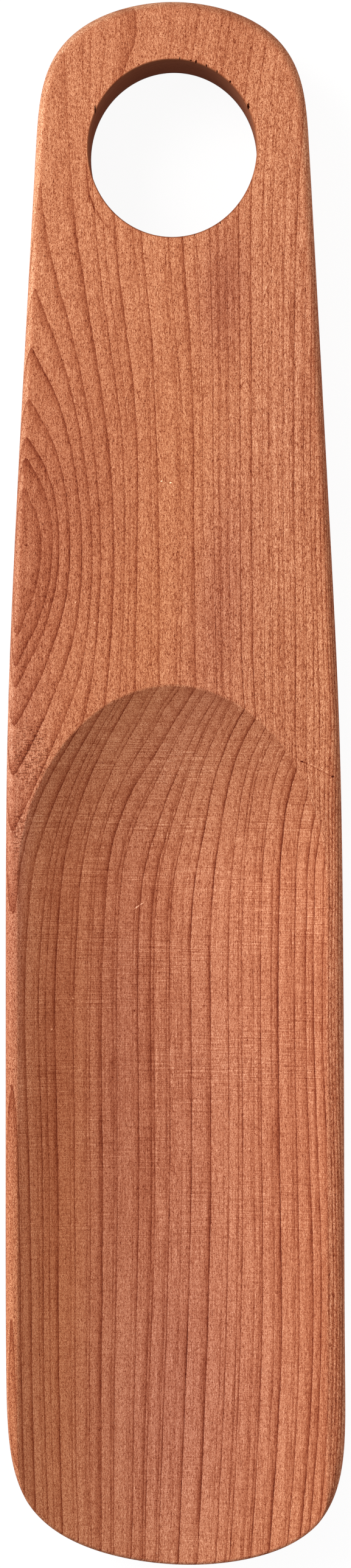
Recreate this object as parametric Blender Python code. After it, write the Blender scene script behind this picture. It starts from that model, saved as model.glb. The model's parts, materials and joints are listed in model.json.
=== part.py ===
# Wooden shoehorn, cut from one piece of straight-grained softwood. It lies on its back:
# X runs across it, Y from the blade's tip to the handle's end, and Z up through its
# thickness. All sizes are in metres.

import math

import bmesh
import bpy
from mathutils import Matrix

# Plan of the blank. A distance "along" starts at the handle's end and runs to the tip.
LENGTH = 0.190
THICKNESS = 0.013
BLADE_WIDTH = 0.0412
HANDLE_WIDTH = 0.0312  # where the flare starts, at the handle's end
FLARE_LENGTH = 0.0882  # from there to where a straight flare would reach the blade's width
FLARE_EASE = 0.0005  # how much the corner between flare and blade is eased
HANDLE_END_LENGTH = 0.0196  # the round end of the handle
TIP_LENGTH = 0.0284  # the round end of the blade
HANDLE_END_POWER = 4.05  # a higher power makes a squarer end
TIP_POWER = 4.8
END_ROOT = 1.92  # 2 would make round shoulders, and less makes them flatter
BLADE_DRIFT = 0.00028  # the sawn blade sits this far to one side of the handle
DRIFT_START = 0.050  # where the drift sets in, from the handle's end
TIP_LEAN = 0.0014  # and its tip leans the same way
TIP_LEAN_REACH = 0.009
EDGE_ROUND = 0.0011  # sanded round all edges of the blank

# Finger hole through the handle, which also hangs the shoehorn on a peg.
HOLE_FROM_END = 0.0178
HOLE_WIDTH = 0.0204
HOLE_LENGTH = 0.0214
HOLE_EASE = 0.0003

# Scoop in the blade, milled by a round-nosed drum whose axis runs along the blank.
SCOOP_START = 0.0827  # from the handle's end to the top of the arch
SCOOP_DEPTH = 0.0062
DRUM_RADIUS = 0.0315
DRUM_NOSE_RADIUS = 0.050

# Back of the blade: swept up to a thin tip and rounded across, flat under the handle.
TIP_THICKNESS = 0.002
RIM_THICKNESS = 0.0032  # what the sweep and the belly leave at the sides of the tip
SWEEP_START = 0.115
BELLY_START = 0.095
BELLY_RUN = 0.070

# Fineness of the mesh.
END_POINTS = 16
SIDE_POINTS = 16
EDGE_SEGMENTS = 3
BACK_ROWS = 16
BACK_COLUMNS = 12
DRUM_STEPS = 112
NOSE_POINTS = 12
HOLE_STEPS = 72

OVERRUN = 0.004  # how far each cutter runs past the wood
WELD = 0.000002
SMOOTH_BELOW = math.radians(24)

# Sizes that follow from those above.
SWEEP_RUN = LENGTH - SWEEP_START
SWEEP_RISE = THICKNESS - SCOOP_DEPTH - TIP_THICKNESS
SWEEP_RADIUS = (SWEEP_RUN**2 + SWEEP_RISE**2) / (2 * SWEEP_RISE)
BELLY_RISE = THICKNESS - RIM_THICKNESS - SWEEP_RISE
BELLY_RADIUS = ((BLADE_WIDTH / 2) ** 2 + BELLY_RISE**2) / (2 * BELLY_RISE)
DRUM_AXIS_HEIGHT = THICKNESS - SCOOP_DEPTH + DRUM_RADIUS
NOSE_RUN = math.sqrt(2 * DRUM_NOSE_RADIUS * SCOOP_DEPTH - SCOOP_DEPTH**2)


def y_of(along):
    return LENGTH / 2 - along


def eased(share):
    """0 to 1 along an S-shaped curve."""
    share = min(max(share, 0), 1)
    return share * share * (3 - 2 * share)


def centre_line(along):
    """Where the middle of the sawn outline lies, in X."""
    drift = BLADE_DRIFT * (eased((along - DRIFT_START) / FLARE_LENGTH) - 1)
    return drift + TIP_LEAN * math.exp((along - LENGTH) / TIP_LEAN_REACH)


def end_share(distance, end_length, power):
    """Share of the full width at a distance from a round end."""
    inwards = max(1 - distance / end_length, 0)
    return max(1 - inwards**power, 0) ** (1 / END_ROOT)


def half_width(along):
    flare = HANDLE_WIDTH / 2 + (BLADE_WIDTH - HANDLE_WIDTH) / 2 * along / FLARE_LENGTH
    mean = (flare + BLADE_WIDTH / 2) / 2
    straight = mean - math.hypot(flare - mean, FLARE_EASE)
    handle_end = end_share(along, HANDLE_END_LENGTH, HANDLE_END_POWER)
    tip_end = end_share(LENGTH - along, TIP_LENGTH, TIP_POWER)
    return straight * handle_end * tip_end


def end_stations(end_length, power):
    """Distances from a round end, close together where the outline turns most."""
    turns = [math.pi / 2 * i / END_POINTS for i in range(1, END_POINTS)]
    return [end_length * (1 - math.cos(turn) ** (2 / power)) for turn in turns]


def side_stations():
    """Distances along one side of the outline, from the handle's end to the tip."""
    first = HANDLE_END_LENGTH
    last = LENGTH - TIP_LENGTH
    handle = end_stations(HANDLE_END_LENGTH, HANDLE_END_POWER)
    middle = [first + (last - first) * i / SIDE_POINTS for i in range(SIDE_POINTS + 1)]
    tip = [LENGTH - d for d in reversed(end_stations(TIP_LENGTH, TIP_POWER))]
    return handle + middle + tip


def outline():
    """The closed plan outline, anticlockwise from above, starting at the handle's end."""
    side = side_stations()
    left = [(centre_line(a) - half_width(a), y_of(a)) for a in side]
    right = [(centre_line(a) + half_width(a), y_of(a)) for a in reversed(side)]
    handle_apex = (centre_line(0), y_of(0))
    tip_apex = (centre_line(LENGTH), y_of(LENGTH))
    return [handle_apex, *left, tip_apex, *right]


def back_height(x, along):
    """How far the back lies above the bench."""
    past = min(max(along - SWEEP_START, 0), SWEEP_RUN)
    sweep = SWEEP_RADIUS - math.sqrt(SWEEP_RADIUS**2 - past**2)
    side = min(abs(x), BLADE_WIDTH / 2)
    belly = BELLY_RADIUS - math.sqrt(BELLY_RADIUS**2 - side**2)
    return sweep + belly * eased((along - BELLY_START) / BELLY_RUN)


def cut_across(bm, point, direction):
    """Scores a line round the whole mesh, which adds the edges that a bend needs."""
    geometry = bm.verts[:] + bm.edges[:] + bm.faces[:]
    bmesh.ops.bisect_plane(bm, geom=geometry, dist=WELD, plane_co=point, plane_no=direction)


def add_object(name, bm):
    mesh = bpy.data.meshes.new(name)
    bm.to_mesh(mesh)
    bm.free()
    obj = bpy.data.objects.new(name, mesh)
    bpy.context.scene.collection.objects.link(obj)
    return obj


def make_blank():
    """The sawn blank with its edges sanded round and its back shaped."""
    bm = bmesh.new()
    plan = bm.faces.new([bm.verts.new((x, y, 0)) for x, y in outline()])
    raised = bmesh.ops.extrude_face_region(bm, geom=[plan])["geom"]
    top = [v for v in raised if isinstance(v, bmesh.types.BMVert)]
    bmesh.ops.translate(bm, verts=top, vec=(0, 0, THICKNESS))
    bmesh.ops.recalc_face_normals(bm, faces=bm.faces)
    arrises = [e for e in bm.edges if abs(e.verts[0].co.z - e.verts[1].co.z) < WELD]
    bmesh.ops.bevel(
        bm,
        geom=arrises,
        offset=EDGE_ROUND,
        offset_type="OFFSET",
        segments=EDGE_SEGMENTS,
        profile=0.5,
        affect="EDGES",
        clamp_overlap=True,
        material=-1,
    )
    back_run = LENGTH - BELLY_START
    for i in range(BACK_ROWS):
        along = BELLY_START + back_run * i / BACK_ROWS
        cut_across(bm, (0, y_of(along), 0), (0, 1, 0))
    for i in range(1, BACK_COLUMNS):
        x = BLADE_WIDTH * (i / BACK_COLUMNS - 1 / 2)
        cut_across(bm, (x, 0, 0), (1, 0, 0))
    for vert in bm.verts:
        if vert.co.z < THICKNESS / 2:
            vert.co.z += back_height(vert.co.x, LENGTH / 2 - vert.co.y)
    return add_object("shoehorn_body", bm)


def turned(name, profile, steps):
    """A closed solid turned round Z from (radius, height) points, both ends on the axis."""
    bm = bmesh.new()
    verts = [bm.verts.new((radius, 0, height)) for radius, height in profile]
    edges = [bm.edges.new(pair) for pair in zip(verts, verts[1:])]
    bmesh.ops.spin(
        bm,
        geom=verts + edges,
        cent=(0, 0, 0),
        axis=(0, 0, 1),
        angle=2 * math.pi,
        steps=steps,
        use_merge=True,
    )
    bmesh.ops.remove_doubles(bm, verts=bm.verts, dist=WELD)
    bmesh.ops.recalc_face_normals(bm, faces=bm.faces)
    cutter = add_object(name, bm)
    cutter.hide_render = True
    cutter.display_type = "WIRE"
    return cutter


def make_hole_cutter():
    """An oval plug whose ends open out, which leaves the hole's rims eased."""
    radius = HOLE_WIDTH / 2
    flare = HOLE_EASE + OVERRUN
    bottom = -OVERRUN
    top = THICKNESS + OVERRUN
    profile = [
        (0, top),
        (radius + flare, top),
        (radius, THICKNESS - HOLE_EASE),
        (radius, HOLE_EASE),
        (radius + flare, bottom),
        (0, bottom),
    ]
    cutter = turned("hole_cutter", profile, HOLE_STEPS)
    cutter.data.transform(Matrix.Diagonal((1, HOLE_LENGTH / HOLE_WIDTH, 1, 1)))
    cutter.location = (centre_line(0), y_of(HOLE_FROM_END), 0)
    return cutter


def make_scoop_drum():
    """The milling drum. Its round nose makes the arch, and it runs out past the tip."""
    steepest = math.acos(1 - (SCOOP_DEPTH + OVERRUN) / DRUM_NOSE_RADIUS)
    nose_centre = y_of(SCOOP_START + NOSE_RUN)
    nose = []
    for i in range(NOSE_POINTS + 1):
        turn = steepest * (1 - i / NOSE_POINTS)
        radius = DRUM_RADIUS - DRUM_NOSE_RADIUS * (1 - math.cos(turn))
        nose.append((radius, nose_centre + DRUM_NOSE_RADIUS * math.sin(turn)))
    far_end = y_of(LENGTH) - OVERRUN
    profile = [(0, nose[0][1]), *nose, (DRUM_RADIUS, far_end), (0, far_end)]
    drum = turned("scoop_drum", profile, DRUM_STEPS)
    drum.rotation_euler = (-math.pi / 2, 0, 0)
    drum.location = (centre_line(0), 0, DRUM_AXIS_HEIGHT)
    return drum


def cut(body, cutter):
    modifier = body.modifiers.new(cutter.name, "BOOLEAN")
    modifier.operation = "DIFFERENCE"
    modifier.solver = "EXACT"
    modifier.object = cutter


def apply_cuts(body):
    """Turns the cuts into mesh, so that the arrises can be marked sharp."""
    bpy.context.view_layer.update()
    graph = bpy.context.evaluated_depsgraph_get()
    body.data = bpy.data.meshes.new_from_object(body.evaluated_get(graph))
    body.modifiers.clear()
    body.data.shade_smooth()
    body.data.set_sharp_from_angle(angle=SMOOTH_BELOW)


def make_cedar():
    """Bare sanded softwood: reddish brown, with a soft satin surface."""
    cedar = bpy.data.materials.new("sanded_cedar")
    cedar.use_nodes = True
    surface = cedar.node_tree.nodes["Principled BSDF"]
    surface.inputs["Base Color"].default_value = (0.52, 0.21, 0.10, 1)
    surface.inputs["Roughness"].default_value = 0.6
    surface.inputs["Metallic"].default_value = 0
    return cedar


def main():
    for obj in list(bpy.data.objects):
        bpy.data.objects.remove(obj)
    body = make_blank()
    cut(body, make_scoop_drum())
    cut(body, make_hole_cutter())
    apply_cuts(body)
    body.data.materials.clear()
    body.data.materials.append(make_cedar())


main()
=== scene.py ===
import json
import math

import bmesh
import bpy
from mathutils import Matrix, Vector

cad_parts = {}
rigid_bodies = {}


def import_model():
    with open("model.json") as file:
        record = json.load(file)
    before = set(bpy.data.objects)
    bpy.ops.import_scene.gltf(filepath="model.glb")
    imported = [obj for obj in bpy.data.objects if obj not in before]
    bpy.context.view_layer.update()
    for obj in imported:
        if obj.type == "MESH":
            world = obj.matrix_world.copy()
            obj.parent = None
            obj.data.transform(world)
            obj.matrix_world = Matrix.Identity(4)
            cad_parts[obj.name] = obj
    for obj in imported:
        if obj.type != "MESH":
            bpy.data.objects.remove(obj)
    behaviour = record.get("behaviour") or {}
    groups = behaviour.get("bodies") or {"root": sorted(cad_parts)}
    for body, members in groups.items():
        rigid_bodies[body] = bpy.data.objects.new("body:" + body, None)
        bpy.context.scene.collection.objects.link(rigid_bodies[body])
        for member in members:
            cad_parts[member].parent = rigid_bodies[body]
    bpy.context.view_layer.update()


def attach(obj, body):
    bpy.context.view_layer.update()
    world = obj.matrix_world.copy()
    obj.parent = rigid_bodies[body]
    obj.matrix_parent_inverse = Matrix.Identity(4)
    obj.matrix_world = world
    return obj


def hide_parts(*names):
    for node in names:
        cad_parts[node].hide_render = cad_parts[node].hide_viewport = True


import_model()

# A wooden shoehorn, sawn and sanded from one piece of red cedar. Shapes are modelled in millimetres
# and turned to metres at the end. "Along" is a distance from the handle's end towards the tip.

mm = 0.001
weld = 0.002   # points nearer than this are one


def linear(hexColour):
    channels = [int(hexColour[i:i + 2], 16) / 255 for i in (1, 3, 5)]
    return (*[c / 12.92 if c <= 0.04045 else ((c + 0.055) / 1.055) ** 2.4 for c in channels], 1)


def smooth(share):
    share = min(max(share, 0), 1)
    return share * share * (3 - 2 * share)


def newObject(name, bm):
    mesh = bpy.data.meshes.new(name)
    bm.to_mesh(mesh)
    bm.free()
    obj = bpy.data.objects.new(name, mesh)
    bpy.context.scene.collection.objects.link(obj)
    return obj


def applyModifiers(obj):
    bpy.context.view_layer.update()
    graph = bpy.context.evaluated_depsgraph_get()
    made = bpy.data.meshes.new_from_object(obj.evaluated_get(graph))
    obj.modifiers.clear()
    obj.data = made


# The blank

blank = {
    "length": 190, "thickness": 13, "bladeWidth": 41.2, "handleWidth": 31.2,
    "flareLength": 88.2, "flareEase": 0.5,
    "handleEnd": 19.6, "handlePower": 4.05,   # the round end of the handle, and how square it is
    "tipEnd": 28.4, "tipPower": 4.8,
    "endRoot": 1.92,
    "drift": 0.28, "driftStart": 50,          # the saw wandered this far to one side
    "tipLean": 1.4, "tipLeanReach": 9,
    "edgeRound": 1.1, "edgeSteps": 6, "sharpAngle": 38,
    "points": 520, "endPoints": 0.32,         # of the outline, and the share of them at each end
}

back = {
    "sweepStart": 115, "sweepRise": 4.8,      # the back lifts towards the tip
    "bellyStart": 95, "bellyRun": 70, "bellyRise": 5,
    "rows": 64, "columns": 26,
}


def centreLine(along):
    drift = blank["drift"] * (smooth((along - blank["driftStart"]) / blank["flareLength"]) - 1)
    return drift + blank["tipLean"] * math.exp((along - blank["length"]) / blank["tipLeanReach"])


def endShare(distance, endLength, power):
    inwards = max(1 - distance / endLength, 0)
    return max(1 - inwards ** power, 0) ** (1 / blank["endRoot"])


def halfWidth(along):
    handle, blade = blank["handleWidth"] / 2, blank["bladeWidth"] / 2
    flare = handle + (blade - handle) * along / blank["flareLength"]
    mean = (flare + blade) / 2
    straight = mean - math.hypot(flare - mean, blank["flareEase"])
    handleEnd = endShare(along, blank["handleEnd"], blank["handlePower"])
    return straight * handleEnd * endShare(blank["length"] - along, blank["tipEnd"], blank["tipPower"])


def alongOutline(share):
    # share 0 is the handle's end and 1 the tip, with the points close together at both
    ends = blank["endPoints"]
    if share < ends:
        turn = math.pi / 2 * share / ends
        return blank["handleEnd"] * (1 - math.cos(turn) ** (2 / blank["handlePower"]))
    if share > 1 - ends:
        turn = math.pi / 2 * (1 - share) / ends
        return blank["length"] - blank["tipEnd"] * (1 - math.cos(turn) ** (2 / blank["tipPower"]))
    straight = blank["length"] - blank["tipEnd"] - blank["handleEnd"]
    return blank["handleEnd"] + straight * (share - ends) / (1 - 2 * ends)


def backHeight(x, along):
    run = blank["length"] - back["sweepStart"]
    sweepRadius = (run ** 2 + back["sweepRise"] ** 2) / (2 * back["sweepRise"])
    past = min(max(along - back["sweepStart"], 0), run)
    sweep = sweepRadius - math.sqrt(sweepRadius ** 2 - past ** 2)
    half = blank["bladeWidth"] / 2
    bellyRadius = (half ** 2 + back["bellyRise"] ** 2) / (2 * back["bellyRise"])
    belly = bellyRadius - math.sqrt(bellyRadius ** 2 - min(abs(x), half) ** 2)
    return sweep + belly * smooth((along - back["bellyStart"]) / back["bellyRun"])


def scoreBack(bm, point, direction):
    faces = [f for f in bm.faces if f.calc_center_median().z < blank["edgeRound"] * 1.01]
    edges = dict.fromkeys(e for f in faces for e in f.edges)
    verts = dict.fromkeys(v for f in faces for v in f.verts)
    bmesh.ops.bisect_plane(
        bm, geom=[*verts, *edges, *faces], dist=weld, plane_co=point, plane_no=direction)


def makeBlank():
    bm = bmesh.new()
    rim = bmesh.ops.create_circle(bm, cap_ends=True, radius=1, segments=blank["points"])["verts"]
    for vert in rim:
        side = 1 if vert.co.x > 0 else -1
        along = alongOutline(math.acos(max(-1, min(1, vert.co.y))) / math.pi)
        vert.co = (centreLine(along) + side * halfWidth(along), blank["length"] / 2 - along, 0)
    raised = bmesh.ops.extrude_face_region(bm, geom=bm.faces[:])["geom"]
    top = [v for v in raised if isinstance(v, bmesh.types.BMVert)]
    bmesh.ops.translate(bm, verts=top, vec=(0, 0, blank["thickness"]))
    bmesh.ops.recalc_face_normals(bm, faces=bm.faces)
    arrises = [e for e in bm.edges if abs(e.verts[0].co.z - e.verts[1].co.z) < 0.001]
    bmesh.ops.bevel(
        bm, geom=arrises, offset=blank["edgeRound"], offset_type="OFFSET", affect="EDGES",
        segments=blank["edgeSteps"], profile=0.5, clamp_overlap=True, material=-1)
    for i in range(back["rows"]):
        along = back["bellyStart"] + (blank["length"] - back["bellyStart"]) * i / back["rows"]
        scoreBack(bm, (0, blank["length"] / 2 - along, 0), (0, 1, 0))
    for i in range(1, back["columns"]):
        scoreBack(bm, (blank["bladeWidth"] * (i / back["columns"] - 0.5), 0, 0), (1, 0, 0))
    for vert in bm.verts:
        if vert.co.z < blank["thickness"] / 2:
            vert.co.z += backHeight(vert.co.x, blank["length"] / 2 - vert.co.y)
    return newObject("shoehorn_wood", bm)


# The cuts: a round-nosed drum mills the scoop, and a hole saw opens the finger hole

scoop = {
    "start": 82.7, "depth": 6.2, "drumRadius": 31.5, "noseRadius": 50,
    "steps": 300, "nosePoints": 40, "ringEvery": 1.6,
    "past": 4,                                          # how far the drum runs on past the wood
    "arris": 0.16, "tipArris": 0.42, "arrisSteps": 3,   # how far its edges are sanded back
}

hole = {
    "fromEnd": 17.8, "width": 20.4, "length": 21.4, "ease": 0.16,
    "steps": 260, "wallRings": 8, "easeSteps": 4, "past": 4,
    "tearsOut": 1.015,                # the tears' middles lie this many times the rim's size out
    "tearFoot": 0.3, "tearSides": 7, "tearRagged": 0.05,
    # torn fibres along the rim: angle round the hole in degrees, width, length along the grain, depth
    "tears": [
        (85.0, 0.16, 0.55, 0.7), (77.5, 0.5, 0.20, 0.4), (74.0, 0.32, 0.55, 0.8),
        (66.5, 0.26, 0.45, 0.6), (58.5, 0.20, 0.50, 0.7), (47.5, 0.34, 0.40, 0.6),
        (27.5, 0.42, 1.05, 1.1), (154.5, 0.22, 1.35, 1.0), (-56.0, 0.20, 0.40, 0.5),
        (-75.0, 0.14, 0.35, 0.5),
    ],
}

cutKinds = {"sanded": 0, "scooped": 1, "drilled": 2, "torn": 3}


def turnedCutter(name, profile, steps, kind):
    bm = bmesh.new()
    verts = [bm.verts.new((radius, 0, height)) for radius, height in profile]
    edges = [bm.edges.new(pair) for pair in zip(verts, verts[1:])]
    bmesh.ops.spin(bm, geom=verts + edges, cent=(0, 0, 0), axis=(0, 0, 1),
                   angle=2 * math.pi, steps=steps, use_merge=True)
    bmesh.ops.remove_doubles(bm, verts=bm.verts, dist=weld)
    bmesh.ops.recalc_face_normals(bm, faces=bm.faces)
    for face in bm.faces:
        face.material_index = cutKinds[kind]
    return newObject(name, bm)


def noseRun():
    return math.sqrt(2 * scoop["noseRadius"] * scoop["depth"] - scoop["depth"] ** 2)


def noseCentre():
    return blank["length"] / 2 - scoop["start"] - noseRun()


def tailOf(profile):
    # carries a drum's profile on past the tip, and closes it
    nose, farEnd = noseCentre(), -blank["length"] / 2 - scoop["past"]
    rings = round((nose - farEnd) / scoop["ringEvery"])
    radius = profile[-1][0]
    return [*[(radius, nose + (farEnd - nose) * i / rings) for i in range(1, rings + 1)], (0, farEnd)]


def layAlong(drum, axisHeight):
    drum.data.transform(Matrix.Rotation(-math.pi / 2, 4, "X"))
    drum.data.transform(Matrix.Translation((centreLine(0), 0, axisHeight)))
    return drum


def makeDrum():
    steepest = math.acos(1 - (scoop["depth"] + scoop["past"]) / scoop["noseRadius"])
    profile = []
    for i in range(scoop["nosePoints"] + 1):
        turn = steepest * (1 - i / scoop["nosePoints"])
        radius = scoop["drumRadius"] - scoop["noseRadius"] * (1 - math.cos(turn))
        profile.append((radius, noseCentre() + scoop["noseRadius"] * math.sin(turn)))
    profile = [(0, profile[0][1]), *profile, *tailOf(profile)]
    drum = turnedCutter("scoop_drum", profile, scoop["steps"], "scooped")
    return layAlong(drum, blank["thickness"] - scoop["depth"] + scoop["drumRadius"])


def makeArrisDrum():
    # a wider, flatter drum that only touches the scoop's upper edge, and leaves a narrow eased band
    flat = scoop["drumRadius"] - scoop["depth"]
    sideAngle = math.acos(flat / scoop["drumRadius"])
    side = flat * math.tan(sideAngle)
    easedFlat = side / math.tan(sideAngle / 2)
    profile = []
    for i in range(scoop["nosePoints"] + 1):
        x = side * math.sin(math.pi / 2 * i / scoop["nosePoints"])
        radius = math.hypot(flat, x)
        turn = math.acos(1 - (scoop["drumRadius"] - radius) / scoop["noseRadius"])
        outwards = Vector((x / radius, math.tan(turn))).normalized() * scoop["arris"]
        y = noseCentre() + scoop["noseRadius"] * math.sin(turn) + outwards.y
        profile.append((math.hypot(easedFlat, x + outwards.x), y))
    radius, y = profile[0]
    lid = y + 3
    profile = [(0, lid), (radius - 1, lid), *profile, *tailOf(profile)]
    drum = turnedCutter("arris_drum", profile, 2 * scoop["steps"], "sanded")
    return layAlong(drum, blank["thickness"] + easedFlat)


def scoopFloor(x, y):
    # the height of the scoop's surface, or a height above the face where there is none
    above = blank["thickness"] + 3
    flat = scoop["drumRadius"] - scoop["depth"]
    toNose = max(noseRun() - (blank["length"] / 2 - y - scoop["start"]), 0)
    if toNose > noseRun() + 2:
        return above
    nose = scoop["noseRadius"] - math.sqrt(scoop["noseRadius"] ** 2 - toNose ** 2)
    radius = scoop["drumRadius"] - nose
    x = abs(x - centreLine(0))
    if x >= radius:
        return above
    return min(above, blank["thickness"] + flat - math.sqrt(radius ** 2 - x ** 2))


def outlinePoint(share, side):
    along = alongOutline(min(max(share, 0), 1))
    return Vector((centreLine(along) + side * halfWidth(along), blank["length"] / 2 - along))


def makeTipSander():
    # a ring-shaped cutter that follows the outline and rounds the edge where the scoop runs out. Its
    # profile says how far inside the outline a point lies, and how high above the scoop's surface
    ease, beyond, aside = scoop["tipArris"], 0.03, 0.8
    turns = [math.pi / 2 * i / scoop["arrisSteps"] for i in range(scoop["arrisSteps"] + 1)]
    arc = [(ease - (ease + beyond) * math.sin(turn), -ease * (1 - math.cos(turn))) for turn in turns]
    profile = [(ease + aside, 0.5), *arc, (-aside, -ease - 0.4), (-aside, 2.5), (ease + aside, 2.5)]
    bm = bmesh.new()
    bmesh.ops.create_circle(bm, cap_ends=False, radius=1, segments=blank["points"])
    ring = bm.edges[:]
    for i in range(1, len(profile)):
        made = bmesh.ops.extrude_edge_only(bm, edges=ring)["geom"]
        bmesh.ops.translate(
            bm, verts=[v for v in made if isinstance(v, bmesh.types.BMVert)], vec=(0, 0, 1))
        ring = [e for e in made if isinstance(e, bmesh.types.BMEdge)
                and abs(e.verts[0].co.z - e.verts[1].co.z) < 0.1]
    first = [e for e in bm.edges if max(e.verts[0].co.z, e.verts[1].co.z) < 0.1]
    bmesh.ops.bridge_loops(bm, edges=first + ring)
    nearby = 0.0004
    for vert in bm.verts:
        inset, rise = profile[round(vert.co.z)]
        side = 1 if vert.co.x > 0 else -1
        share = math.acos(max(-1, min(1, vert.co.y))) / math.pi
        here = outlinePoint(share, side)
        ahead = outlinePoint(share + nearby, side) - outlinePoint(share - nearby, side)
        outwards = Vector((-ahead.y, ahead.x)).normalized() * side
        if abs(vert.co.x) < 0.0001:
            outwards = Vector((0, vert.co.y))
        here -= outwards * inset
        vert.co = (here.x, here.y, scoopFloor(here.x, here.y) + rise)
    bmesh.ops.recalc_face_normals(bm, faces=bm.faces)
    return newObject("tip_sander", bm)


def makeHoleSaw():
    radius, ease, top = hole["width"] / 2, hole["ease"], blank["thickness"]
    turns = [math.pi / 2 * i / hole["easeSteps"] for i in range(hole["easeSteps"] + 1)]
    rounding = [(radius + ease - ease * math.sin(turn), ease * math.cos(turn)) for turn in turns]
    upper = [(r, top - ease + h) for r, h in rounding]
    lower = [(r, ease - h) for r, h in reversed(rounding)]
    walls = [(radius, top - ease - (top - 2 * ease) * i / hole["wallRings"])
             for i in range(1, hole["wallRings"])]
    profile = [(0, top + hole["past"]), (radius + ease, top + hole["past"]), *upper, *walls, *lower,
               (radius + ease, -hole["past"]), (0, -hole["past"])]
    saw = turnedCutter("hole_saw", profile, hole["steps"], "drilled")
    saw.data.transform(Matrix.Diagonal((1, hole["length"] / hole["width"], 1, 1)))
    saw.data.transform(Matrix.Translation((centreLine(0), blank["length"] / 2 - hole["fromEnd"], 0)))
    return saw


def makeTears():
    # each is a small wedge, widest at the face, that a torn-out fibre leaves at the rim
    bm = bmesh.new()
    middle = blank["length"] / 2 - hole["fromEnd"]
    above = 0.2   # how far each wedge stands out of the face
    for angle, width, length, depth in hole["tears"]:
        turn = math.radians(angle)
        x = centreLine(0) + hole["width"] / 2 * math.cos(turn) * hole["tearsOut"]
        y = middle + hole["length"] / 2 * math.sin(turn) * hole["tearsOut"]
        place = Matrix.Translation((x, y, blank["thickness"] - depth / 2 + above / 2))
        made = bmesh.ops.create_cone(
            bm, cap_ends=True, segments=hole["tearSides"], radius1=0.5 * hole["tearFoot"], radius2=0.5,
            depth=1, matrix=place @ Matrix.Diagonal((width, length, depth + above, 1)))
        for i, vert in enumerate(made["verts"]):
            vert.co.x += hole["tearRagged"] * width * math.sin(5 * i + angle)
            vert.co.y += hole["tearRagged"] * length * math.cos(3 * i + angle)
    bmesh.ops.recalc_face_normals(bm, faces=bm.faces)
    for face in bm.faces:
        face.material_index = cutKinds["torn"]
    return newObject("torn_fibres", bm)


def cutWith(body, cutter):
    modifier = body.modifiers.new(cutter.name, "BOOLEAN")
    modifier.operation = "DIFFERENCE"
    modifier.solver = "EXACT"
    modifier.material_mode = "INDEX"
    modifier.object = cutter
    applyModifiers(body)
    bpy.data.objects.remove(cutter)


def trueNormals(mesh):
    # the scoop's facets are shaded by the surface that they stand for, and the face as flat
    flat, apart = Vector((0, 0, 1)), 0.05
    onFace, inScoop = 0.0005, 0.006    # how near a point has to lie
    normals = [c.vector.copy() for c in mesh.corner_normals]
    for loop in mesh.loops:
        x, y, z = mesh.vertices[loop.vertex_index].co / mm
        if abs(z - blank["thickness"]) < onFace:
            normals[loop.index] = flat
        elif abs(z - scoopFloor(x, y)) < inScoop:
            acrossSlope = (scoopFloor(x + apart, y) - scoopFloor(x - apart, y)) / (2 * apart)
            alongSlope = (scoopFloor(x, y + apart) - scoopFloor(x, y - apart)) / (2 * apart)
            normals[loop.index] = Vector((-acrossSlope, -alongSlope, 1)).normalized()
    mesh.normals_split_custom_set(normals)


def makeBody():
    body = makeBlank()
    for kind in cutKinds:
        body.data.materials.append(bpy.data.materials.new(kind))
    cutWith(body, makeDrum())
    cutWith(body, makeArrisDrum())
    cutWith(body, makeTipSander())
    cutWith(body, makeHoleSaw())
    cutWith(body, makeTears())
    body.data.transform(Matrix.Scale(mm, 4))
    kinds = [float(p.material_index) for p in body.data.polygons]
    body.data.attributes.new("cut", "FLOAT", "FACE").data.foreach_set("value", kinds)
    body.data.polygons.foreach_set("material_index", [0] * len(kinds))
    body.data.materials.clear()
    body.data.shade_smooth()
    body.data.set_sharp_from_angle(angle=math.radians(blank["sharpAngle"]))
    weighted = body.modifiers.new("face_weighted", "WEIGHTED_NORMAL")
    weighted.weight = 100
    weighted.keep_sharp = True
    applyModifiers(body)
    trueNormals(body.data)
    print("body:", len(body.data.polygons), "faces")
    return body


# Red cedar, milled, sanded and left bare: to the eye a warm pinkish brown with hardly any shine, fine
# and a little gritty, with thin dark lines. The blank was sawn beside the tree's middle, so the rings
# meet the face at a slant: each one darkens slowly towards the bark and then stops short in a thin
# line, and the lines swing aside where a branch was near.

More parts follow.
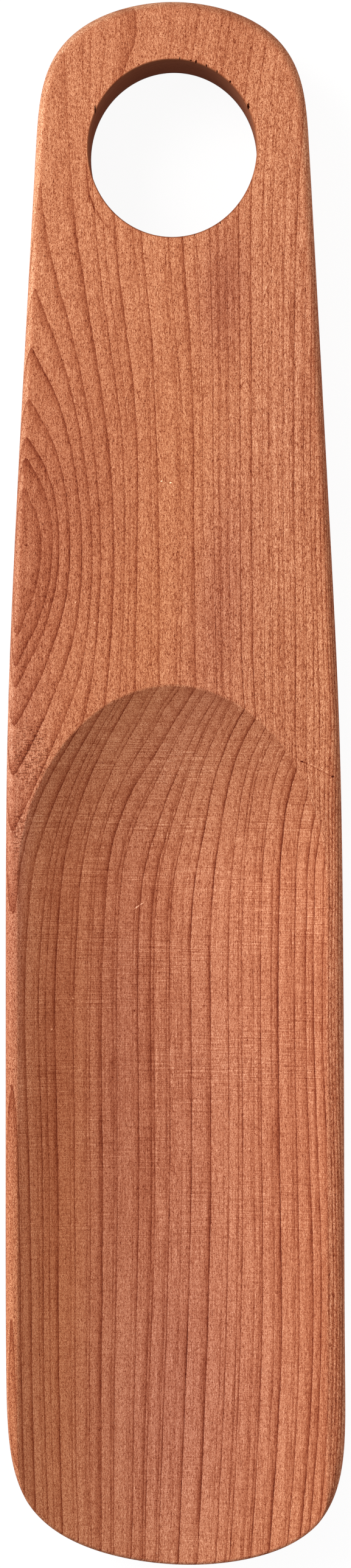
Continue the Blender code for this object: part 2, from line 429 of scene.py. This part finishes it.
cedar = {
    "colour": "#DB8D64",
    "absorbs": (1.0, 1.68, 2.05),      # dark wood takes out more green and blue than red
    "pinkens": (0.0, 0.2, 1.0),        # and pinkish wood gives back more of the blue
    # bare sanded wood hardly shines, and an opened fibre or the hole's sawn wall shines less
    "ior": 1.45, "gloss": 0.12, "roughness": 0.68, "fibreRoughness": 0.2, "wallRoughness": 0.32,
    "pith": (-29.18, 49.23),           # the tree's middle, left of the blank and in front of it
    "pithLean": 0.066,
    "beside": (0.78, 0, 0.63),         # the direction across the block along a ring
    # where each ring ends, going outwards, how dark its last wood is and how broad
    "rings": [
        (-2.1, 0.8, 0.6), (-1.6, 0.8, 0.5), (-1.2, 0.8, 0.5), (-0.9, 0.8, 0.5), (-0.7, 0.35, 0.25),
        (-0.59, 0.7, 0.25), (-0.5, 0.9, 0.3), (-0.42, 0.9, 0.3), (-0.24, 1.0, 0.4), (0.06, 1.1, 0.5),
        (0.43, 0.8, 0.7), (0.88, 0.75, 1.1), (1.73, 0.85, 1.7), (2.33, 0.25, 0.8), (2.58, 0.9, 0.8),
        (2.98, 0.65, 0.6), (3.48, 0.9, 1.3), (4.18, 0.4, 1), (4.38, 0.75, 0.7), (4.98, 0.35, 1),
        (5.13, 0.6, 0.7), (5.73, 0.85, 1.8), (6.28, 0.45, 1), (6.43, 0.8, 0.7), (7.23, 0.35, 0.7),
        (7.48, 0.95, 0.8), (8.12, 0.75, 1.4), (8.27, 0.7, 1), (8.93, 0.5, 1.4), (9.08, 1.1, 0.7),
        (9.78, 0.25, 1.8), (10.28, 1.3, 1), (11.43, 1.1, 1.6), (12.23, 0.45, 0.7), (12.53, 0.95, 0.7),
        (13.16, 0.65, 0.9), (13.38, 0.95, 0.7), (14.13, 0.35, 1.6), (14.43, 0.6, 0.7), (14.58, 1, 0.9),
        (15.23, 0.55, 1), (15.63, 1.25, 1.4), (16.38, 0.4, 1.4), (16.58, 0.9, 0.7), (17.23, 1, 1),
        (17.63, 0.9, 1.1), (18.08, 0.7, 0.9), (18.48, 0.85, 1.3), (18.78, 1, 1), (19.1, 0.8, 1.2),
        (19.5, 1, 1.3), (19.95, 0.8, 1),
    ],
    # past those, out to the back: each ring's width, darkness and breadth, as a mean, how far it
    # varies and how fast
    "ringsReach": 28, "nextRing": [(0.55, 0.25, 2.4), (0.75, 0.3, 1.7), (1, 0.4, 3.1)],
    # where the rings swing aside: distance outwards, along, half width, half length, how far
    "swings": [
        (-6.76, 92.63, 4.16, 9.88, 5.06), (1.93, 86.43, 24.80, 37.66, 6.98),
        (-10.62, 38.47, 1.80, 63.34, 3.19), (0.78, 13.35, 1.94, 14.94, -4.54),
        (-6.17, 91.31, 3.58, 8.58, -4.06), (-4.81, 46.05, 3.33, 38.30, -9.16),
        (0.60, 12.20, 1.96, 15.51, 4.39), (-9.49, -19.34, 16.17, 26.61, 1.44),
        (16.87, -21.27, 7.03, 38.67, 2.66), (11.07, 36.09, 14.02, 42.41, 5.78),
        (-7.60, 49.14, 2.97, 56.33, 5.44), (-5.61, 55.13, 2.09, 29.77, 3.44),
        (-3.76, 41.65, 2.59, 38.26, 8.21), (7.58, 0.78, 5.04, 9.80, -4.25),
        (8.87, 5.75, 7.64, 8.71, -2.73), (8.47, 3.54, 5.32, 9.76, 6.71),
        (-11.24, -60.00, 15.30, 90.00, 8.42),
    ],
    "wavers": [(2.5, 26, 0.14), (0.5, 7, 0.06), (0.16, 1.4, 0.03)],   # how wide, how long, how far
    "calm": (0, 1.2, 0.25, 1),         # less of them where the rings lie flat and far apart
    # late wood: how near it keeps to the ring's end, and its share of the darkness
    "line": (0.055, 0.65), "band": (0.17, 0.4),
    "comesAndGoes": (2.2, 0.14, 0.4),  # changes per millimetre outwards, along and beside
    "comesAndGoesBy": (0.3, 0.7, 0.6, 1.2),
    "fainter": (66, 76, 1.0, 0.6),     # the lines grow fainter round the hole,
    "clearer": (17, 19.5, 0, 0.45),    # clearer in the outermost rings
    "scoopClearer": 0.22,              # and clearer where the drum has cut them
    "coarser": (-2, 8, 0.75, 1.15),    # the texture is finest in the innermost rings
    # patches of redder wood, streaks a few fibres wide and fine ones: across, along, detail, how dark
    "streaks": [(5.0, 40.0, 0, 0.25), (0.45, 30.0, 1, 0.4), (0.12, 5.0, 1, 0.85)],
    "palest": -0.03, "palestEase": 0.14,   # the wood between two rings is only a little paler
    # opened fibres and the grit's marks: across, along, how bent, how strong. A real fibre is about
    # 0.035 mm across, too fine to show, so these are drawn about twice as coarse
    "flecks": [(0.075, 0.34, 0, 0.9), (0.055, 0.13, 0.8, 1.9)],
    "fleckContrast": 2, "fleckDark": 0.5,
    "scoopSmoother": 0.2,              # the scoop has this share less of them
    # torn-out fibres, then raised ones: across, along, from, to, how dark. Drawn coarser too
    "dashes": [(0.09, 0.60, 0.62, 0.74, 0.4), (0.09, 0.6, 0.38, 0.27, -0.15)],
    # the slopes that face along the grain are darker partly as painted shade
    "endGrainAndShade": 0.50, "wallDarker": 0.18, "torn": 0.4,   # how much darker than a sanded face
    # a painted highlight: the rounded edge along the left and round the handle's end, which faces the
    # lamp, is painted paler
    "highlightFacing": (-0.85, 0.5, 0), "highlightTurn": (0.2, 0.42), "highlightUp": (0.0, 0.25),
    "highlightAlong": (-16, 10, 0.15, 1), "highlightAmount": -0.34, "highlightDull": 0.13,
    # the hole's wall: lines per millimetre, how much they dull it, and a painted shadow along its far
    # edge
    "sawLines": 3.5, "sawn": (0.3, 0.7, 0.16, 0.36), "farEdgeShadow": (1.0, 0.4), "farEdgeShadowDull": 0.4,
    "edgeBand": (12.3, 12.9), "edgeBandDark": 0.10,         # the scoop's upper edge
    # the drum's scratches, in sets: across the blade, along it, from, to, how dark. The pale sets are
    # the scratches and the dark set is a painted shadow for them. Real ones are hair-thin, and these
    # are drawn 0.07 mm wide so that they show
    "scratchesAndShadows": [(7.0, 0.07, 0.60, 0.66, -0.2), (3.0, 0.07, 0.65, 0.70, -0.2),
                  (6.0, 0.08, 0.61, 0.67, 0.26)],
    "scratchTilt": 0.012, "scratchAlong": (-60, -38, 0.4, 1),
    "scratchSets": (0.05, 0.16, 0),    # changes per millimetre across the blade and along it
    "scratchSetsBy": (0.4, 0.65, 0.45, 1),
    # rough wood where a branch was near: x, y, half width, half length
    "roughPlaces": [(-17.2, 3.6, 3.0, 4.6), (-18.6, -5.6, 1.4, 3.6)],
    "roughReach": (1.2, 0.5), "roughPale": -0.08,
    "tearWidth": 0.75, "tearLength": 0.18, "tearFrom": (0.55, 0.61), "tearDark": 0.45,
    # small marks: x, y, angle, half length, half width, how much darker
    "marks": [
        (17.2, 2.2, -27, 2.2, 0.06, 0.5), (17.3, 2.4, -27, 2.0, 0.06, -0.25),
        (15.4, 3.1, -20, 0.2, 0.11, 1.8), (19.1, 1.3, 10, 0.2, 0.12, 1.8),
        (11.5, 61.5, 68, 2.3, 0.05, -0.3), (11.7, 61.4, 68, 2.2, 0.05, 0.25),
        (14.4, 58.1, 81, 2.0, 0.05, 0.3), (14.5, 58.1, 81, 1.8, 0.04, -0.2),
        (-4.5, -14.5, 34, 0.8, 0.08, -0.8), (-15.0, -29.4, 30, 0.16, 0.10, -0.8),
        (-12.4, -25.7, 0, 0.12, 0.09, -0.7), (-1.6, 37.0, 10, 0.12, 0.08, -0.9),
        (-0.5, 36.8, 0, 0.20, 0.08, -0.9), (-9.7, 19.9, 0, 0.10, 0.10, -0.8),
        (-12.0, 22.4, 60, 0.18, 0.09, -0.8), (-5.0, -27.3, 0, 0.12, 0.10, 1.2),
        (8.8, -30.8, 0, 0.11, 0.11, 1.0), (-17.9, 29.3, 80, 0.20, 0.10, 1.0),
        # fibres lifted and torn along the hole's rim
        (-10.6, 74.4, 92, 1.6, 0.09, 0.5), (-10.4, 71.9, 96, 1.5, 0.12, 0.7),
        (-9.9, 70.4, 108, 1.2, 0.13, 0.7), (-9.1, 69.0, 118, 0.9, 0.11, 0.6),
        (-8.2, 67.8, 130, 0.6, 0.12, 0.5), (-10.3, 69.6, 100, 1.0, 0.07, -0.2),
    ],
    "markReach": (1.2, 0.6),
    # broad patches: distance outwards, y, half width, half length, how much darker, how much pinker
    "patches": [
        (-8.6, 36, 3.6, 22, 0.21, 0.06), (-7.4, 32, 2.2, 10, 0.06, 0.03),
        (-9.6, 77, 3.0, 12, 0.06, 0), (1.3, 60, 2.2, 8, 0.27, 0.19),
        (2.9, 24, 2.5, 14, 0.15, 0.15), (-2.6, 20, 2.2, 9, 0.04, -0.06),
        (-4.3, -26, 3.0, 34, 0.27, 0.04), (-2.5, -60, 3.0, 30, 0.08, -0.08),
        (1.6, -34, 3.0, 38, 0.20, 0.19), (7.0, -42, 4.0, 42, 0.12, 0.17),
        (13.2, -38, 5.0, 34, 0.09, 0.12), (8.9, -78, 8.0, 20, 0.09, 0.22),
        (-9.2, -14, 1.4, 34, 0.16, 0.23), (8.0, 50, 4.5, 26, -0.03, 0.08),
        (-1, 93, 14, 7, 0.09, 0.02), (-0.9, 40, 2.5, 16, 0.05, -0.04),
    ],
    "fleckHeight": -0.008, "tearHeight": -0.05,         # hollows, in millimetres
}


def allRings():
    # the listed rings, then more of about the same width out to the back
    rings = list(cedar["rings"])
    while rings[-1][0] < cedar["ringsReach"]:
        step, darkness, breadth = [mean + most * math.sin(turn * len(rings))
                                   for mean, most, turn in cedar["nextRing"]]
        rings.append((rings[-1][0] + step, darkness, breadth))
    return rings


def bendCurve(mapping, points):
    # straight from point to point
    curve = mapping.curves[0]
    curve.points[0].location = points[0]
    curve.points[1].location = points[-1]
    for place, height in points[1:-1]:
        curve.points.new(place, height)
    for point in curve.points:
        point.handle_type = "VECTOR"
    mapping.update()


def makeCedar():
    material = bpy.data.materials.new("sanded_cedar")
    material.use_nodes = True
    tree = material.node_tree
    surface = tree.nodes["Principled BSDF"]

    def add(kind, inputs, output=0, **settings):
        made = tree.nodes.new("ShaderNode" + kind)
        for name, value in settings.items():
            setattr(made, name, value)
        for key, value in (inputs.items() if isinstance(inputs, dict) else enumerate(inputs)):
            if isinstance(value, bpy.types.NodeSocket):
                tree.links.new(value, made.inputs[key])
            else:
                made.inputs[key].default_value = value
        return made.outputs[output]

    # place in millimetres, and the distance outwards from the tree's middle
    spot = add("TexCoord", (), "Object")
    place = add("VectorMath", {0: spot, "Scale": 1 / mm}, operation="SCALE")
    x, y, z = add("SeparateXYZ", (place,)).node.outputs
    pithX, pithZ = cedar["pith"]
    sideways = add("Math", (y, -cedar["pithLean"], x), operation="MULTIPLY_ADD")
    fromPith = add("CombineXYZ", (sideways, 0.0, z))
    fromPith = add("VectorMath", (fromPith, (pithX, 0, pithZ)), "Value", operation="DISTANCE")
    outwards = add("Math", (fromPith, math.hypot(pithX, pithZ - blank["thickness"])),
                   operation="SUBTRACT")
    beside = add("VectorMath", (place, cedar["beside"]), "Value", operation="DOT_PRODUCT")
    level = add("CombineXYZ", (outwards, y, 0.0))

    def nearTo(at, atY, wide, long):
        # 1 in the middle of a place in the block, and falling away smoothly all round it
        away = add("VectorMath", (level, (1 / wide, 1 / long, 0), (-at / wide, -atY / long, 0)),
                   operation="MULTIPLY_ADD")
        away = add("VectorMath", (away, away), "Value", operation="DOT_PRODUCT")
        return add("Math", (math.exp(-1), away), operation="POWER")

    ringPlace = outwards
    for at, atY, wide, long, swing in cedar["swings"]:
        ringPlace = add("Math", (nearTo(at, atY, wide, long), swing, ringPlace),
                        operation="MULTIPLY_ADD")
    calm = add("MapRange", (ringPlace, *cedar["calm"]))
    grainPlace = add("CombineXYZ", (ringPlace, y, beside))
    for wide, long, swing in cedar["wavers"]:
        size = add("VectorMath", (grainPlace, (1 / wide, 1 / long, 1 / wide)), operation="MULTIPLY")
        waver = add("TexNoise", {"Vector": size, "Scale": 1, "Detail": 1})
        waver = add("Math", (waver, 0.5), operation="SUBTRACT")
        waver = add("Math", (waver, calm), operation="MULTIPLY")
        ringPlace = add("Math", (waver, swing, ringPlace), operation="MULTIPLY_ADD")

    # a curve holds only 256 steps, so the count of the rings passed is made from several
    rings = allRings()
    ends, darks, breadths = zip(*rings)
    widths = [ends[1] - ends[0]] + [there - here for here, there in zip(ends, ends[1:])]
    count = 0.0
    perCurve = 10
    for first in range(0, len(rings), perCurve):
        group = ends[first:first + perCurve]
        low = ends[first] - widths[first]
        share = add("MapRange", (ringPlace, low, group[-1]), clamp=True)
        passed = add("FloatCurve", {1: share})
        steps = [((end - low) / (group[-1] - low), step / len(group))
                 for step, end in enumerate(group, 1)]
        bendCurve(passed.node.mapping, [(0, 0), *steps])
        count = add("Math", (passed, len(group), count), operation="MULTIPLY_ADD")
    inRing = add("Math", (count,), operation="FRACT")
    ringNumber = add("Math", (count,), operation="FLOOR")
    share = add("Math", (ringNumber, len(rings) - 1), operation="DIVIDE")

    # what belongs to each ring: a curve runs from 0 to 1, so each value is a share of its most
    ofRing = []
    for values, most in ((widths, 1.5), (darks, 1.5), (breadths, 2)):
        looked = add("FloatCurve", {1: share})
        bendCurve(looked.node.mapping, [(step / (len(rings) - 1), value / most)
                                        for step, value in enumerate(values)])
        ofRing.append(add("Math", (looked, most), operation="MULTIPLY"))
    width, darkness, breadth = ofRing

    # how each face was cut
    cut = add("Attribute", (), "Fac", attribute_type="GEOMETRY", attribute_name="cut")
    scooped, drilled, torn = [add("Math", (cut, cutKinds[kind], 0.5), operation="COMPARE")
                              for kind in ("scooped", "drilled", "torn")]

    # late wood: a thin dark line at the ring's end and a soft band before it
    toEnd = add("Math", (1.0, inRing), operation="SUBTRACT")
    toEnd = add("Math", (toEnd, width), operation="MULTIPLY")
    toEnd = add("Math", (toEnd, breadth), operation="DIVIDE")
    lateWood = 0.0
    for reach, part in (cedar["line"], cedar["band"]):
        near = add("Math", (math.exp(-1 / reach), toEnd), operation="POWER")
        lateWood = add("Math", (near, part, lateWood), operation="MULTIPLY_ADD")
    lateWood = add("Math", (lateWood, darkness), operation="MULTIPLY")

    # along a ring the dark line comes and goes
    grainPlace = add("CombineXYZ", (ringPlace, y, beside))
    comesAndGoes = add("VectorMath", (grainPlace, cedar["comesAndGoes"]), operation="MULTIPLY")
    comesAndGoes = add("TexNoise", {"Vector": comesAndGoes, "Scale": 1, "Detail": 2})
    comesAndGoes = add("MapRange", (comesAndGoes, *cedar["comesAndGoesBy"]))
    shade = add("Math", (lateWood, comesAndGoes), operation="MULTIPLY")
    fainter = add("MapRange", (y, *cedar["fainter"]))
    clearer = add("MapRange", (ringPlace, *cedar["clearer"]))
    clearer = add("Math", (scooped, cedar["scoopClearer"], clearer), operation="MULTIPLY_ADD")
    clearer = add("Math", (clearer, fainter), operation="ADD")
    shade = add("Math", (shade, clearer), operation="MULTIPLY")

    coarser = add("MapRange", (outwards, *cedar["coarser"]))
    for wide, long, detail, dark in cedar["streaks"]:
        size = add("VectorMath", (grainPlace, (1 / wide, 1 / long, 1 / wide)), operation="MULTIPLY")
        streak = add("TexNoise", {"Vector": size, "Scale": 1, "Detail": detail, "Roughness": 0.6})
        streak = add("Math", (streak, 0.5), operation="SUBTRACT")
        streak = add("Math", (streak, coarser), operation="MULTIPLY")
        shade = add("Math", (streak, dark, shade), operation="MULTIPLY_ADD")
    shade = add("Math", (shade, cedar["palest"], cedar["palestEase"]), operation="SMOOTH_MAX")

    # the drum leaves the scoop smoother than the sanding leaves the face, and on the hole's wall the
    # saw leaves only its own lines
    opened = add("Math", (drilled, -1.0, 1.0), operation="MULTIPLY_ADD")
    opened = add("Math", (scooped, -cedar["scoopSmoother"], opened), operation="MULTIPLY_ADD")
    fleck = 0.0
    for wide, long, bent, strength in cedar["flecks"]:
        size = add("VectorMath", (place, (1 / wide, 1 / long, 1 / wide)), operation="MULTIPLY")
        speck = add("TexNoise", {"Vector": size, "Scale": 1, "Detail": 0, "Distortion": bent})
        speck = add("Math", (speck, 0.5), operation="SUBTRACT")
        fleck = add("Math", (speck, strength, fleck), operation="MULTIPLY_ADD")
    fleck = add("Math", (fleck, opened), operation="MULTIPLY")

    # an open fibre is dark, and the wood between two is only a little paler
    fleckDark = add("Math", (math.exp(cedar["fleckContrast"]), fleck), operation="POWER")
    fleckDark = add("Math", (fleckDark, 1), operation="SUBTRACT")
    shade = add("Math", (fleckDark, cedar["fleckDark"], shade), operation="MULTIPLY_ADD")

    for wide, long, low, high, dark in cedar["dashes"]:
        size = add("VectorMath", (place, (1 / wide, 1 / long, 1 / wide)), operation="MULTIPLY")
        dash = add("TexNoise", {"Vector": size, "Scale": 1, "Detail": 0})
        dash = add("MapRange", (dash, low, high))
        dash = add("Math", (dash, coarser), operation="MULTIPLY")
        dash = add("Math", (dash, opened), operation="MULTIPLY")
        shade = add("Math", (dash, dark, shade), operation="MULTIPLY_ADD")

    # end grain is duller, and so is every slope that faces along the grain: partly the end grain's own
    # tone and partly painted shade
    facing = add("TexCoord", (), "Normal")
    endGrainAndShade = add("SeparateXYZ", (facing,), "Y")
    endGrainAndShade = add("Math", (endGrainAndShade,), operation="ABSOLUTE")
    dullAndShade = add("Math", (endGrainAndShade, cedar["endGrainAndShade"]), operation="MULTIPLY")

    # a painted highlight on the rounded edge that faces the lamp, on the rounding only
    turned = add("VectorMath", (facing, cedar["highlightFacing"]), "Value", operation="DOT_PRODUCT")
    paintedHighlight = add("MapRange", (turned, *cedar["highlightTurn"]))
    upwards = add("SeparateXYZ", (facing,), "Z")
    upwards = add("MapRange", (upwards, *cedar["highlightUp"]))
    paintedHighlight = add("Math", (paintedHighlight, upwards), operation="MULTIPLY")
    alongEdge = add("MapRange", (y, *cedar["highlightAlong"]))
    paintedHighlight = add("Math", (paintedHighlight, alongEdge), operation="MULTIPLY")
    paintedHighlight = add("Math", (paintedHighlight, scooped), operation="SUBTRACT")
    paintedHighlight = add("Math", (paintedHighlight, drilled), operation="SUBTRACT")
    paintedHighlight = add("Math", (paintedHighlight, 0.0), operation="MAXIMUM")
    shade = add("Math", (paintedHighlight, cedar["highlightAmount"], shade), operation="MULTIPLY_ADD")
    dullAndShade = add("Math", (paintedHighlight, cedar["highlightDull"], dullAndShade), operation="MULTIPLY_ADD")

    # the hole's wall is darker and duller, with the saw's fine lines round it, and a painted shadow
    # along its far edge
    sawLines = add("Math", (z, cedar["sawLines"]), operation="MULTIPLY")
    sawLines = add("TexNoise", {"W": sawLines, "Scale": 1, "Detail": 2}, noise_dimensions="1D")
    sawn = add("MapRange", (sawLines, *cedar["sawn"]))
    farEdgeShadow = add("MapRange", (z, *cedar["farEdgeShadow"]))
    sawn = add("Math", (farEdgeShadow, cedar["farEdgeShadowDull"], sawn), operation="MULTIPLY_ADD")
    dullAndShade = add("Math", (drilled, sawn, dullAndShade), operation="MULTIPLY_ADD")
    shade = add("Math", (drilled, cedar["wallDarker"], shade), operation="MULTIPLY_ADD")
    # the torn hollows are painted darker: painted shade inside them
    shade = add("Math", (torn, cedar["torn"], shade), operation="MULTIPLY_ADD")

    # a thin band just below the scoop's upper edge is darker, and the drum leaves fine crosswise
    # scratches below it, drawn in colour only: pale lines with a painted shadow for them
    edge = add("MapRange", (z, *cedar["edgeBand"]))
    edge = add("Math", (edge, scooped), operation="MULTIPLY")
    shade = add("Math", (edge, cedar["edgeBandDark"], shade), operation="MULTIPLY_ADD")
    tilted = add("Math", (x, cedar["scratchTilt"], y), operation="MULTIPLY_ADD")
    tilted = add("CombineXYZ", (x, tilted, 0.0))
    inPlace = add("MapRange", (y, *cedar["scratchAlong"]))
    inPlace = add("Math", (scooped, inPlace), operation="MULTIPLY")
    sets = add("VectorMath", (tilted, cedar["scratchSets"]), operation="MULTIPLY")
    sets = add("TexNoise", {"Vector": sets, "Scale": 1, "Detail": 0}, noise_dimensions="2D")
    sets = add("MapRange", (sets, *cedar["scratchSetsBy"]))
    inPlace = add("Math", (sets, inPlace), operation="MULTIPLY")
    scratchesAndShadows = 0.0
    for wide, long, low, high, dark in cedar["scratchesAndShadows"]:
        size = add("VectorMath", (tilted, (1 / wide, 1 / long, 0)), operation="MULTIPLY")
        scratch = add("TexNoise", {"Vector": size, "Scale": 1, "Detail": 0}, noise_dimensions="2D")
        scratch = add("MapRange", (scratch, low, high))
        scratchesAndShadows = add("Math", (scratch, dark, scratchesAndShadows), operation="MULTIPLY_ADD")
    scratchesAndShadows = add("Math", (scratchesAndShadows, inPlace), operation="MULTIPLY")
    shade = add("Math", (shade, scratchesAndShadows), operation="ADD")

    # rough wood tears crosswise
    rough = 0.0
    for atX, atY, wide, long in cedar["roughPlaces"]:
        away = add("VectorMath", (place, (1 / wide, 1 / long, 0), (-atX / wide, -atY / long, 0)),
                   operation="MULTIPLY_ADD")
        away = add("VectorMath", (away,), "Value", operation="LENGTH")
        near = add("MapRange", (away, *cedar["roughReach"]))
        rough = add("Math", (near, rough), operation="MAXIMUM")
    size = add("VectorMath", (place, (1 / cedar["tearWidth"], 1 / cedar["tearLength"], 1)),
               operation="MULTIPLY")
    tears = add("TexNoise", {"Vector": size, "Scale": 1, "Detail": 1, "Roughness": 0.7})
    tears = add("MapRange", (tears, *cedar["tearFrom"]))
    tears = add("Math", (tears, rough), operation="MULTIPLY")
    tears = add("Math", (tears, scooped), operation="SUBTRACT")
    tears = add("Math", (tears, 0.0), operation="MAXIMUM")
    shade = add("Math", (tears, cedar["tearDark"], shade), operation="MULTIPLY_ADD")
    shade = add("Math", (rough, cedar["roughPale"], shade), operation="MULTIPLY_ADD")

    # single marks: knocks, specks of resin, a check, a splinter, lifted fibres
    for atX, atY, angle, halfLength, halfWidth, dark in cedar["marks"]:
        atZ = min(scoopFloor(atX, atY), blank["thickness"])
        away = add("VectorMath", (place, (atX, atY, atZ)), operation="SUBTRACT")
        away = add("VectorRotate", {"Vector": away, "Angle": math.radians(-angle)},
                   rotation_type="Z_AXIS")
        away = add("VectorMath", (away, (1 / halfLength, 1 / halfWidth, 1)), operation="MULTIPLY")
        away = add("VectorMath", (away,), "Value", operation="LENGTH")
        near = add("MapRange", (away, *cedar["markReach"]))
        shade = add("Math", (near, dark, shade), operation="MULTIPLY_ADD")

    # broad patches of darker or pinker wood; in the scoop, and most on its left wall, the darkening is
    # partly painted shade
    pinker = 0.0
    for at, atY, wide, long, dark, pink in cedar["patches"]:
        near = nearTo(at, atY, wide, long)
        shade = add("Math", (near, dark, shade), operation="MULTIPLY_ADD")
        if pink:
            pinker = add("Math", (near, pink, pinker), operation="MULTIPLY_ADD")

    # what is dark takes more of the green and blue, so it is redder too
    tones = []
    for tone, absorbed, pink in zip(linear(cedar["colour"]), cedar["absorbs"], cedar["pinkens"]):
        taken = add("Math", (shade, -absorbed), operation="MULTIPLY")
        taken = add("Math", (pinker, pink, taken), operation="MULTIPLY_ADD")
        taken = add("Math", (taken, dullAndShade), operation="SUBTRACT")
        taken = add("Math", (taken,), operation="EXPONENT")
        tones.append(add("Math", (taken, tone), operation="MULTIPLY"))
    colour = add("CombineColor", tones)
    tree.links.new(colour, surface.inputs["Base Color"])

    # opened fibres and tears are hollows
    height = add("Math", (fleck, cedar["fleckHeight"]), operation="MULTIPLY")
    height = add("Math", (tears, cedar["tearHeight"], height), operation="MULTIPLY_ADD")
    bump = add("Bump", {"Height": height, "Distance": mm, "Strength": 1.0})
    tree.links.new(bump, surface.inputs["Normal"])
    roughness = add("Math", (fleck, cedar["fibreRoughness"], cedar["roughness"]),
                    operation="MULTIPLY_ADD")
    roughness = add("Math", (drilled, cedar["wallRoughness"], roughness), operation="MULTIPLY_ADD")
    tree.links.new(roughness, surface.inputs["Roughness"])
    surface.inputs["IOR"].default_value = cedar["ior"]
    surface.inputs["Specular IOR Level"].default_value = cedar["gloss"]
    print("cedar:", len(tree.nodes), "nodes")
    return material


shoehorn = makeBody()
shoehorn.data.materials.append(makeCedar())
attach(shoehorn, "root")
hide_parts("shoehorn_body")


# The stage

studio = {
    "camera": (9.5, 3.6, 663), "aim": (0.1, 0.4, 13), "lens": 123.5,
    "world": 0.45,
    "keyFrom": (-0.60, 0.38, 0.70), "keyDistance": 800, "keySize": 460, "keyPower": 5.3,
    "floorSize": 3,
    "floorBelow": 0.1,          # the sheet lies just under the flat back, so the two don't flicker
    "floor": 0.85,              # how pale it is to the light that it throws back
    "floorSeen": (0.93, 0.10),  # and to the camera: a white sheet lit from behind, and its own shade
}


def lookAt(obj, place, target):
    forward = (Vector(target) - Vector(place)).normalized()
    right = forward.cross(Vector((0, 1, 0))).normalized()
    turn = Matrix((right, right.cross(forward), -forward)).transposed()
    obj.matrix_world = Matrix.Translation(Vector(place)) @ turn.to_4x4()


def seenShare(tree, unseen, seen):
    # one value for the light that falls on things, and another for what the camera sees
    path = tree.nodes.new("ShaderNodeLightPath")
    share = path.outputs["Is Camera Ray"]
    for ray in ("Is Glossy Ray", "Is Transmission Ray"):
        either = tree.nodes.new("ShaderNodeMath")
        either.operation = "MAXIMUM"
        tree.links.new(share, either.inputs[0])
        tree.links.new(path.outputs[ray], either.inputs[1])
        share = either.outputs[0]
    mixed = tree.nodes.new("ShaderNodeMapRange")
    mixed.inputs["To Min"].default_value = unseen
    mixed.inputs["To Max"].default_value = seen
    tree.links.new(share, mixed.inputs["Value"])
    return mixed.outputs[0]


def makeStudio():
    scene = bpy.context.scene
    camera = bpy.data.objects.new("camera", bpy.data.cameras.new("camera"))
    scene.collection.objects.link(camera)
    camera.data.lens = studio["lens"]
    camera.data.clip_start = 0.01
    lookAt(camera, Vector(studio["camera"]) * mm, Vector(studio["aim"]) * mm)
    scene.camera = camera
    key = bpy.data.objects.new("key", bpy.data.lights.new("key", "AREA"))
    scene.collection.objects.link(key)
    key.data.size = studio["keySize"] * mm
    key.data.energy = studio["keyPower"]
    lookAt(key, Vector(studio["keyFrom"]).normalized() * studio["keyDistance"] * mm, (0, 0, 0))
    world = bpy.data.worlds.new("studio")
    world.use_nodes = True
    sky = world.node_tree.nodes["Background"]
    sky.inputs["Color"].default_value = (1, 1, 1, 1)
    world.node_tree.links.new(seenShare(world.node_tree, studio["world"], 1), sky.inputs["Strength"])
    scene.world = world
    scene.view_settings.view_transform = "Standard"


def makeFloor():
    # white paper, rolled smooth and matt: no shine, only a soft shadow on it
    bm = bmesh.new()
    bmesh.ops.create_grid(bm, x_segments=1, y_segments=1, size=studio["floorSize"],
                          matrix=Matrix.Translation((0, 0, -studio["floorBelow"] * mm)))
    floor = newObject("floor", bm)
    paper = bpy.data.materials.new("white_paper")
    paper.use_nodes = True
    surface = paper.node_tree.nodes["Principled BSDF"]
    glow, shade = studio["floorSeen"]
    surface.inputs["Roughness"].default_value = 1
    surface.inputs["Emission Color"].default_value = (1, 1, 1, 1)
    links = paper.node_tree.links
    links.new(seenShare(paper.node_tree, 0, glow), surface.inputs["Emission Strength"])
    links.new(seenShare(paper.node_tree, studio["floor"], shade), surface.inputs["Base Color"])
    floor.data.materials.append(paper)
    return floor


makeStudio()
makeFloor()
print("stage: camera, one soft lamp, a pale floor")
